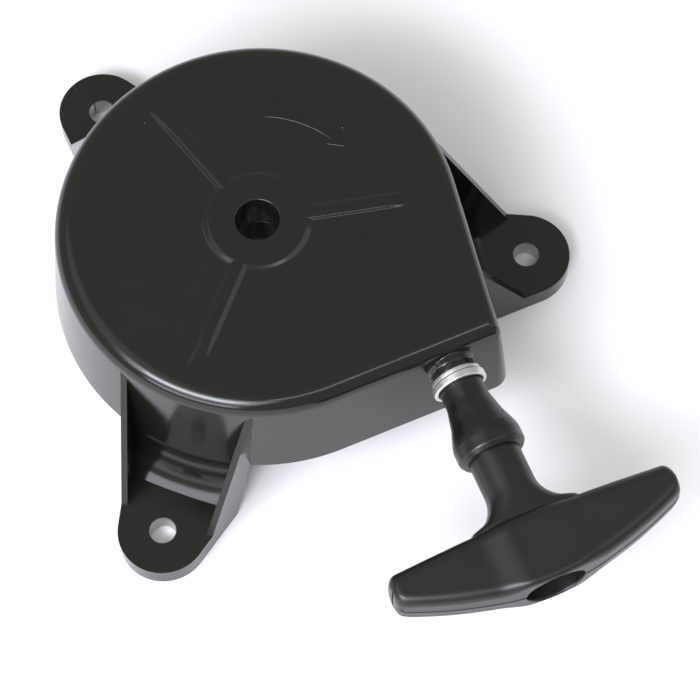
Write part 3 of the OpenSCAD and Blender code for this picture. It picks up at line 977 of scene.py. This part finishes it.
@dataclass
class Handle:
    """The moulded T-grip with its knot pocket, and the rubber boot on its stem."""

    grip_finish: Finish
    boot_finish: Finish
    place: Matrix
    half_w: float = 45.4
    half_t: float = 7.95
    deep: float = 23.35
    end_deep: float = 13.6
    saddle_t: float = 10.25
    saddle_half: float = 10.9
    saddle_in: float = 4.5
    saddle_out: float = 6.5
    tip: float = 2.9
    back_edge: float = 4.2
    front_edge: float = 3.4
    saddle_edge: float = 1.8
    stem_r: float = 8.1
    stem_len: float = 29.5
    fillet: float = 10.0
    seam: float = 0.12
    pocket_r: float = 9.0
    pocket_floor: float = 7.0
    rope_hole_r: float = 2.6
    boot_end: float = 47.5

    def front(self, x: float) -> float:
        """Depth of the bar's front edge at a distance from the middle."""
        t = min(abs(x) / (self.half_w - 2), 1.0)
        bow = 0.35 * t * t + 0.65 * t ** 1.7
        return self.deep - (self.deep - self.end_deep + 0.6) * bow * ease(t, -0.4, 0.5)

    def section(self, x: float) -> list[Point]:
        """Makes one section across the bar, with a fine parting line at mid height.

        Args:
            x: Distance from the middle of the bar.

        Returns:
            Points of the section: across the bar, height and depth along the rope.
        """
        far = abs(x)
        back = 0.2 + 1.9 * (far / self.half_w) ** 1.6
        front = self.front(x)
        past = max(far - (self.half_w - self.tip), 0.0)
        drop = self.tip - math.sqrt(max(self.tip ** 2 - past ** 2, 0.0))
        back += drop
        front -= drop
        lift = 1 - ease(far, self.saddle_half - self.saddle_in, self.saddle_half + self.saddle_out)
        tall = self.half_t + (self.saddle_t - self.half_t) * lift - 0.75 * drop
        tall -= 0.5 * ease(far, 14, self.half_w)
        room = min((front - back) / 2 - 0.05, tall - 0.6)
        near = min(self.front_edge + (self.saddle_edge - self.front_edge) * lift, room)
        lean = 0.25
        half = rounded([(front, 0.0), (front - 0.16, 0.16), (front - 0.16 - lean, tall),
                        (back + lean, tall), (back + 0.16, 0.16), (back, 0.0)],
                       [0, 0, near, min(self.back_edge, room), 0, 0], 0.2, 10)
        ring = [(x, z, d) for d, z in half] + [(x, -z, d) for d, z in half[-2:0:-1]]
        return ring

    def bar(self) -> Obj:
        """Builds the bar as a loft from tip to tip and returns it."""
        ends = [self.half_w - self.tip * (1 - math.sin(math.radians(a))) for a in range(0, 91, 9)]
        inner = [3 * k for k in range(14) if 3 * k < ends[0] - 1.5]
        inner += [7, 8, 10, 11, 13, 14, 16, 17]
        half = sorted(set(inner + ends))
        stations = [-x for x in half[:0:-1]] + half
        rings = [self.to_rope(self.section(x)) for x in stations]
        return mesh_object("grip", *loft(rings))

    def to_rope(self, ring: list[Point]) -> list[Point]:
        """Places a ring of points along the rope's line."""
        return [tuple(self.place @ Vector(p)) for p in ring]

    def stem(self) -> Obj:
        """Builds the stem, which widens into the bar in the plane of the T."""
        rings = []
        for k in range(34):
            d = -self.stem_len + (self.stem_len + 4) * k / 33
            into = max(d + self.fillet, 0.0)
            left = max(self.fillet ** 2 - min(into, self.fillet) ** 2, 0)
            wide = self.stem_r + self.fillet - math.sqrt(left)
            tall = self.stem_r - 0.25 * ease(d, -self.fillet, 0)
            power = 2 + 1.2 * ease(d, -self.fillet, 2)
            ring = []
            for j in range(72):
                a = 2 * math.pi * j / 72
                c, s = math.cos(a), math.sin(a)
                side = wide + (self.seam if j % 36 == 0 else 0.0)
                ring.append((side * math.copysign(abs(c) ** (2 / power), c),
                             tall * math.copysign(abs(s) ** (2 / power), s), d))
            rings.append(self.to_rope(ring))
        return mesh_object("stem", *loft(rings))

    def build_grip(self) -> Obj:
        """Joins bar and stem, sinks the knot pocket and bores the rope's hole."""
        grip = combine(self.bar(), self.stem(), Cut.JOIN)
        mouth = rounded([(0, self.pocket_floor), (self.pocket_r, self.pocket_floor),
                         (self.pocket_r, self.deep - 1.0), (self.pocket_r + 0.5, self.deep - 0.2),
                         (self.pocket_r + 0.5, self.deep + 6), (0, self.deep + 6)],
                        [0, 0.8, 0.8, 0, 0, 0], 0.1)
        wide = self.place @ Matrix.Diagonal((1.04, 0.95, 1.0, 1.0))
        combine(grip, turned("pocket", mouth, wide, 72), Cut.REMOVE)
        hole = [(0, -40), (self.rope_hole_r, -40), (self.rope_hole_r, 12), (0, 12)]
        combine(grip, turned("rope_hole", hole, self.place, 40), Cut.REMOVE)
        self.grip_finish.dress(shade(grip, 38))
        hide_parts("handle_grip")
        return grip

    def build_boot(self) -> Obj:
        """Builds the rubber boot: straight neck, smooth flare and rounded lip."""
        at = -self.boot_end
        profile = rounded(
            [(2.6, at), (6.85, at), (6.9, at + 7.6), (8.5, at + 14.2), (10.35, at + 19.2),
             (10.7, at + 21.0), (10.65, at + 24.9), (9.5, at + 26.45), (8.13, at + 26.45),
             (8.13, at + 18.1), (2.6, at + 18.1), (2.6, at)],
            [0, 0.9, 7, 12, 3.0, 2.0, 1.4, 0.7, 0.2, 0, 0, 0], 0.1, 8)
        boot = turned("boot", profile[:-1], self.place, 96, True)
        self.boot_finish.dress(shade(boot, 45))
        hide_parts("handle_boot")
        return boot


@dataclass
class Rope:
    """The braided starter rope, its knots and its turns on the reel, made by Geometry Nodes."""

    finish: Finish
    radius: float = 2.25
    strands: int = 4
    strand_share: float = 0.36
    weave: float = 0.34

    def tree(self) -> Tree:
        """Builds the node tree that braids strands along a curve.

        Returns:
            The tree, with inputs for the rope's radius, strand radius, number of strands
            each way, turns, points and material.
        """
        tree = bpy.data.node_groups.get("braid") or bpy.data.node_groups.new("braid", "GeometryNodeTree")
        if tree.nodes:
            return tree
        face = tree.interface
        face.new_socket("Path", in_out="INPUT", socket_type="NodeSocketGeometry")
        for name in ("Rope Radius", "Strand Radius", "Turns"):
            face.new_socket(name, in_out="INPUT", socket_type="NodeSocketFloat")
        for name in ("Strands", "Points"):
            face.new_socket(name, in_out="INPUT", socket_type="NodeSocketInt")
        face.new_socket("Fibre", in_out="INPUT", socket_type="NodeSocketMaterial")
        face.new_socket("Rope", in_out="OUTPUT", socket_type="NodeSocketGeometry")
        given = add(tree, "NodeGroupInput").outputs

        def value(operation: str, *parts: Socket | float) -> Socket:
            """Adds one step of arithmetic and returns its result."""
            made = add(tree, "ShaderNodeMath", {"operation": operation}, dict(enumerate(parts)))
            return made.outputs[0]

        def vector(operation: str, first: Socket, second: Socket) -> Socket:
            """Adds one step of vector arithmetic and returns its result."""
            key = "Scale" if operation == "SCALE" else 1
            return add(tree, "ShaderNodeVectorMath", {"operation": operation},
                       {0: first, key: second}).outputs[0]

        line = add(tree, "GeometryNodeResampleCurve", None,
                   {"Curve": given["Path"], "Count": given["Points"]})
        copies = add(tree, "GeometryNodeDuplicateElements", {"domain": "SPLINE"},
                     {"Geometry": line.outputs[0], "Amount": value("MULTIPLY", given["Strands"], 2.0)})
        # Even copies wind one way and odd copies the other, and each pair starts further round.
        index = copies.outputs["Duplicate Index"]
        hand = value("MULTIPLY_ADD", value("MODULO", index, 2.0), 2.0, -1.0)
        step = value("FLOOR", value("DIVIDE", index, 2.0))
        start = value("DIVIDE", value("MULTIPLY", step, 2 * math.pi), given["Strands"])
        along = add(tree, "GeometryNodeSplineParameter").outputs["Factor"]
        wind = value("MULTIPLY", value("MULTIPLY", along, given["Turns"]), 2 * math.pi)
        angle = value("MULTIPLY_ADD", wind, hand, start)
        # The two ways pass over and under each other once for each strand and turn.
        wave = value("COSINE", value("MULTIPLY", wind, given["Strands"]))
        depth = value("MULTIPLY", value("MULTIPLY", wave, hand),
                      value("MULTIPLY", given["Strand Radius"], self.weave))
        inset = value("MULTIPLY", given["Strand Radius"], 1 + self.weave)
        reach = value("ADD", value("SUBTRACT", given["Rope Radius"], inset), depth)
        normal = add(tree, "GeometryNodeInputNormal").outputs[0]
        tangent = add(tree, "GeometryNodeInputTangent").outputs[0]
        side = vector("CROSS_PRODUCT", tangent, normal)
        out = vector("SCALE", normal, value("COSINE", angle))
        over = vector("SCALE", side, value("SINE", angle))
        shift = vector("SCALE", vector("ADD", out, over), reach)
        moved = add(tree, "GeometryNodeSetPosition", None,
                    {"Geometry": copies.outputs["Geometry"], "Offset": shift})
        section = add(tree, "GeometryNodeCurvePrimitiveCircle", {"mode": "RADIUS"},
                      {"Resolution": 5, "Radius": given["Strand Radius"]})
        skin = add(tree, "GeometryNodeCurveToMesh", None,
                   {"Curve": moved.outputs[0], "Profile Curve": section.outputs[0], "Fill Caps": True})
        real = add(tree, "GeometryNodeRealizeInstances", None, {0: skin.outputs[0]})
        dressed = add(tree, "GeometryNodeSetMaterial", None,
                      {"Geometry": real.outputs[0], "Material": given["Fibre"]})
        add(tree, "NodeGroupOutput", None, {0: dressed.outputs[0]})
        return tree

    def braid(self, name: str, path: list[Point], turns: float, per_turn: int,
              radius: float) -> Obj:
        """Braids a rope along a line of points.

        Args:
            name: Name of the new piece.
            path: Points of the rope's middle line, in millimetres.
            turns: Number of times a strand goes round the rope.
            per_turn: Points of a strand in each of its turns.
            radius: Radius of the rope.

        Returns:
            The rope as a plain mesh.
        """
        curve = bpy.data.curves.new(name, "CURVE")
        curve.dimensions = "3D"
        spline = curve.splines.new("POLY")
        spline.points.add(len(path) - 1)
        for point, place in zip(spline.points, path):
            point.co = (*[MM * c for c in place], 1.0)
        source = bpy.data.objects.new(f"{name}_line", curve)
        bpy.context.scene.collection.objects.link(source)
        modifier = source.modifiers.new("braid", "NODES")
        tree = self.tree()
        modifier.node_group = tree
        keys = {item.name: item.identifier for item in tree.interface.items_tree
                if item.in_out == "INPUT"}
        fibre = bpy.data.materials.get(self.finish.name) or self.finish.build()
        values = {"Rope Radius": radius * MM, "Strand Radius": self.strand_share * radius * MM,
                  "Turns": float(turns), "Strands": self.strands,
                  "Points": int(turns * per_turn) + 1, "Fibre": fibre}
        for key, value in values.items():
            modifier[keys[key]] = value
        graph = bpy.context.evaluated_depsgraph_get()
        data = bpy.data.meshes.new_from_object(source.evaluated_get(graph))
        data.name = name
        bpy.data.objects.remove(source)
        rope = bpy.data.objects.new(name, data)
        bpy.context.scene.collection.objects.link(rope)
        data.shade_smooth()
        if not data.materials:
            data.materials.append(fibre)
        return rope

    def knot_line(self, place: Matrix, size: float, flat: float) -> list[Point]:
        """Follows an overhand knot that is drawn tight.

        Args:
            place: Where the knot lies; its axis is the third one.
            size: Reach of its middle line from the axis.
            flat: Half its depth along the axis.

        Returns:
            Points of the knot's middle line.
        """
        line = []
        for k in range(97):
            t = 2 * math.pi * k / 96
            x = (math.sin(t) + 2 * math.sin(2 * t)) / 3 * size
            y = (math.cos(t) - 2 * math.cos(2 * t)) / 3 * size
            line.append(tuple(place @ Vector((x, y, -math.sin(3 * t) * flat))))
        return line

    def coil_line(self, first_r: float, last_r: float, mid_z: float, half: float) -> list[Point]:
        """Follows the rope's turns on the reel, from the floor of the groove outwards."""
        line = []
        turns = 3.0
        for k in range(int(turns * 48) + 1):
            left = turns - k / 48
            a = 2 * math.pi * left + math.radians(1.5)
            out = ease(1.25 - left, 0, 0.4)
            z = mid_z + half * math.cos(math.pi * ease(turns - left, 0.6, 1.3)) * (1 - out)
            r = first_r + (last_r - first_r) * out
            line.append((r * math.cos(a), r * math.sin(a), z))
        return line


@dataclass(frozen=True)
class Lamp:
    """One soft box: its direction from +X and height in degrees, millimetres and watts."""

    name: str
    azimuth: float
    elevation: float
    distance: float
    width: float
    height: float
    power: float

    def hang(self, colour: str) -> None:
        """Hangs the box so that it faces the starter.

        Args:
            colour: Hex colour of its light.
        """
        data = bpy.data.lights.new(self.name, "AREA")
        data.shape = "RECTANGLE"
        data.size = self.width * MM
        data.size_y = self.height * MM
        data.energy = self.power
        data.color = linear(colour)[:3]
        a, e = math.radians(self.azimuth), math.radians(self.elevation)
        way = Vector((math.cos(a) * math.cos(e), math.sin(a) * math.cos(e), math.sin(e)))
        lamp = bpy.data.objects.new(self.name, data)
        lamp.location = way * self.distance * MM + Vector((0.01, -0.03, 0.03))
        lamp.rotation_euler = way.to_track_quat("Z", "Y").to_euler()
        bpy.context.scene.collection.objects.link(lamp)


@dataclass
class Studio:
    """Pale floor, large soft lights and the camera."""

    eye: Point = (-114.95829, -351.01741, 823.25295)
    right: Point = (0.91916025, -0.39383746, -0.00603997)
    up: Point = (0.36434683, 0.84430723, 0.39293345)
    back: Point = (-0.14965232, -0.36336945, 0.91954707)
    lens: float = 143.64873
    floor_half: float = 2600.0
    daylight: str = "#eef5ff"
    sky: str = "#f8f4ea"
    sky_strength: float = 0.5
    lamps: tuple[Lamp, ...] = (
        Lamp("key_box", 213.0, 47.0, 1500.0, 900.0, 330.0, 14.0),
        Lamp("key_glow", 213.0, 47.0, 1550.0, 1400.0, 800.0, 15.0),
        Lamp("low_box", 217.0, 19.0, 1500.0, 1000.0, 360.0, 6.0),
        Lamp("front_strip", 276.0, 64.0, 1500.0, 700.0, 110.0, 1.4),
        Lamp("left_box", 150.0, 60.0, 1600.0, 1200.0, 900.0, 2.0),
        Lamp("right_box", -25.0, 50.0, 1600.0, 1200.0, 1000.0, 3.0),
    )

    def camera(self) -> None:
        """Sets the scene's camera, level with the fitted view and with no lens shift."""
        data = bpy.data.cameras.new("camera")
        data.sensor_width = 36.0
        data.lens = self.lens
        data.clip_end = 20.0
        camera = bpy.data.objects.new("camera", data)
        bpy.context.scene.collection.objects.link(camera)
        turn = Matrix((self.right, self.up, self.back)).transposed().to_4x4()
        camera.matrix_world = Matrix.Translation(tuple(MM * c for c in self.eye)) @ turn
        bpy.context.scene.camera = camera

    def build(self) -> None:
        """Builds the floor, the lights, the surroundings and the camera."""
        h = self.floor_half
        floor = mesh_object("floor", [(-h, -h, 0), (h, -h, 0), (h, h, 0), (-h, h, 0)], [[0, 1, 2, 3]])
        PaleCard("pale_card_matt").dress(floor)
        for lamp in self.lamps:
            lamp.hang(self.daylight)
        world = bpy.data.worlds.new("studio")
        world.use_nodes = True
        sky = world.node_tree.nodes["Background"].inputs
        sky["Color"].default_value = linear(self.sky)
        sky["Strength"].default_value = self.sky_strength
        bpy.context.scene.world = world
        bpy.context.scene.view_settings.view_transform = "Standard"
        self.camera()


@dataclass(frozen=True)
class PaleCard(Finish):
    """Matt white background card with a barely uneven coat."""

    name: str

    def build(self) -> bpy.types.Material:
        """Builds the card and returns its material."""
        tree, where = self.start()
        cloud = noise(tree, where, 300.0, 1.0)
        colour = blend_colours(tree, cloud, linear("#f6f6f6"), linear("#f8f8f8"))
        return self.close(tree, {"Base Color": colour, "Roughness": 0.9, "Specular IOR Level": 0.1})


# ---------------------------------------------------------------- assembly

@dataclass
class Starter:
    """The whole starter: every finish, every sub-assembly and the CAD nodes that stay."""

    leg_angles: tuple[float, ...] = (-13.9, 106.1, 226.1)
    seat_depth: float = 1.8

    def __post_init__(self) -> None:
        """Makes the finishes and reads the rope's line from the frame."""
        low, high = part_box("rope_lead")
        self.rope_x = (low[0] + high[0]) / 2 / MM
        self.rope_z = (low[2] + high[2]) / 2 / MM
        turn = Matrix.Rotation(math.radians(90), 4, "X")
        boot_tip = -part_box("handle_boot")[1][1] / MM
        self.wall_y = boot_tip - self.seat_depth - Outlet.boss_len
        self.bar_y = boot_tip + Handle.boot_end
        self.at_wall = Matrix.Translation((self.rope_x, -self.wall_y, self.rope_z)) @ turn
        self.at_bar = Matrix.Translation((self.rope_x, -self.bar_y, self.rope_z)) @ turn
        self.shell = MouldedPlastic("nylon_black_polished_mould", "#13140e", "#1c1d16", 0.12, 0.9, 0.0015,
                                    0.010, 0.012)
        self.grip = MouldedPlastic("nylon_black_grained_mould", "#131412", "#1c1d1a", 0.34, 0.55, 0.012,
                                   0.010, 0.03)
        self.rubber = Rubber("rubber_black_moulded", "#0b0c0c", "#181817", 0.32)
        self.bright = Metal("aluminium_bright_turned", "#e6e5e1", "#d2d1cc", 0.36, Working.TURNED, 0.3,
                            0.0015, (self.rope_x, 0.0, self.rope_z), (90.0, 0.0, 0.0))
        self.zinc = Metal("steel_zinc_plated", "#c2c3c2", "#a8a698", 0.3)
        self.rolled = Metal("steel_zinc_rolled_sleeve", "#c9c9c6", "#b0aea4", 0.34, Working.ROLLED, 0.2)
        self.spring = Metal("spring_steel_oiled", "#6f757c", "#4d5157", 0.26, Working.ROLLED, 0.15)
        self.pawl = Metal("steel_pawl_passivated", "#b9b094", "#8f8468", 0.34, Working.TUMBLED, 0.5, 0.01)
        self.black = Metal("steel_guide_phosphated", "#3b3c3f", "#2b2b2d", 0.5, Working.TUMBLED, 0.3,
                           0.008)
        self.brass = Metal("brass_insert_turned", "#c9a45c", "#a98243", 0.3, Working.TURNED, 0.3, 0.004)
        self.nylon = Nylon("nylon_natural_moulded", "#d9d5c6", "#b5ad95")
        self.fibre = BraidedRope("nylon_rope_braided", "#dfdbcf", "#b3ab9b")

    def housing(self) -> None:
        """Builds the housing's pieces, which stand for the housing's CAD node."""
        cup = Cup(self.shell)
        pieces = [cup.finish_off(self.at_wall)]
        pieces += TopRelief(self.shell).build(self.leg_angles)
        leg = Leg(self.shell, cup)
        pieces += [leg.build(a, f"leg_{i + 1}") for i, a in enumerate(self.leg_angles)]
        for i, angle in enumerate(self.leg_angles):
            sleeve = leg.sleeve(angle, f"mount_sleeve_{i + 1}")
            self.rolled.dress(sleeve)
            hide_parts("mount_sleeves")
            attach(sleeve, "housing")
        outlet = Outlet(self.shell, self.bright, self.at_wall)
        pieces.append(outlet.boss())
        for piece in pieces:
            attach(piece, "housing")
        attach(outlet.eyelet(), "housing")
        LOG.info("housing: %d pieces", len(pieces) + 1)

    def handle(self) -> None:
        """Builds the grip and its boot."""
        handle = Handle(self.grip, self.rubber, self.at_bar)
        for piece in (handle.build_grip(), handle.build_boot()):
            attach(piece, "handle")
            LOG.info("handle: %s, %d faces", piece.name, len(piece.data.polygons))

    def rope(self) -> None:
        """Builds the rope's free length, its turns on the reel and its two knots."""
        rope = Rope(self.fibre)
        start, end, steps = 0.3, self.bar_y + 8.4, 40
        line = [(self.rope_x, -start - (end - start) * k / steps, self.rope_z) for k in range(steps + 1)]
        lead = rope.braid("rope_free", line, 58, 24, rope.radius)
        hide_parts("rope_lead")
        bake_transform(lead)
        line = rope.coil_line(32.15, self.rope_x, self.rope_z, 2.4)
        coil = rope.braid("rope_turns", line, 42, 20, rope.radius)
        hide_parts("rope_coil")
        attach(coil, "reel")
        lie = self.at_bar @ Matrix.Translation((0, 0, 12.6))
        knot = rope.braid("handle_knot_tied", rope.knot_line(lie, 5.2, 1.5), 6, 24, 0.82 * rope.radius)
        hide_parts("handle_knot")
        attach(knot, "handle")
        low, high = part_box("reel_knot")
        middle = Matrix.Translation(((low[0] + high[0]) / 2 / MM, (low[1] + high[1]) / 2 / MM,
                                     low[2] / MM + 2.9))
        tied = rope.braid("reel_knot_tied", rope.knot_line(middle, 2.3, 1.1), 4, 20, 1.25)
        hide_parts("reel_knot")
        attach(tied, "reel")
        LOG.info("rope: free length, turns and two knots")

    def inside(self) -> None:
        """Softens and dresses the hard inner parts and the small metal parts."""
        softened = {
            "reel": (0.35, self.nylon, "reel", "reel_nylon"),
            "spring_cover": (0.12, self.zinc, "reel", "zinc_steel"),
            "pawl_pins": (0.12, self.zinc, "reel", "zinc_steel"),
            "pawl_a": (0.25, self.pawl, "pawl_a", "pawl_steel"),
            "pawl_b": (0.25, self.pawl, "pawl_b", "pawl_steel"),
            "ratchet_guide": (0.18, self.black, "guide", "guide_steel"),
            "head_washer": (0.15, self.zinc, "housing", "zinc_steel"),
            "thrust_washer": (0.15, self.zinc, "housing", "zinc_steel"),
            "centre_screw": (0.25, self.zinc, "housing", "zinc_steel"),
        }
        for node, (width, finish, body, slot) in softened.items():
            piece = soften(copy_of_node(node, f"{node}_soft"), width, 2, 40)
            finish.dress(piece)
            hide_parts(node)
            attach(piece, body)
            LOG.info("inside: %s, %d faces", piece.name, len(piece.data.polygons))
        kept = {
            "post_insert": self.brass, "recoil_spring": self.spring, "cover_rivets": self.zinc,
            "pawl_spring_a": self.spring, "pawl_spring_b": self.spring, "friction_spring": self.spring,
            "guide_bush": self.zinc, "rope_washer": self.zinc,
        }
        for node, finish in kept.items():
            finish.dress(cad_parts[node])
        LOG.info("inside: %d nodes dressed as they are", len(kept))


def main() -> None:
    """Builds the starter and its studio."""
    logging.basicConfig(level=logging.INFO, format="%(name)s: %(message)s")
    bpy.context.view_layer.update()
    starter = Starter()
    starter.housing()
    starter.handle()
    starter.rope()
    starter.inside()
    Studio().build()
    bpy.context.view_layer.update()
    LOG.info("boxes written")


if __name__ == "__main__":
    main()
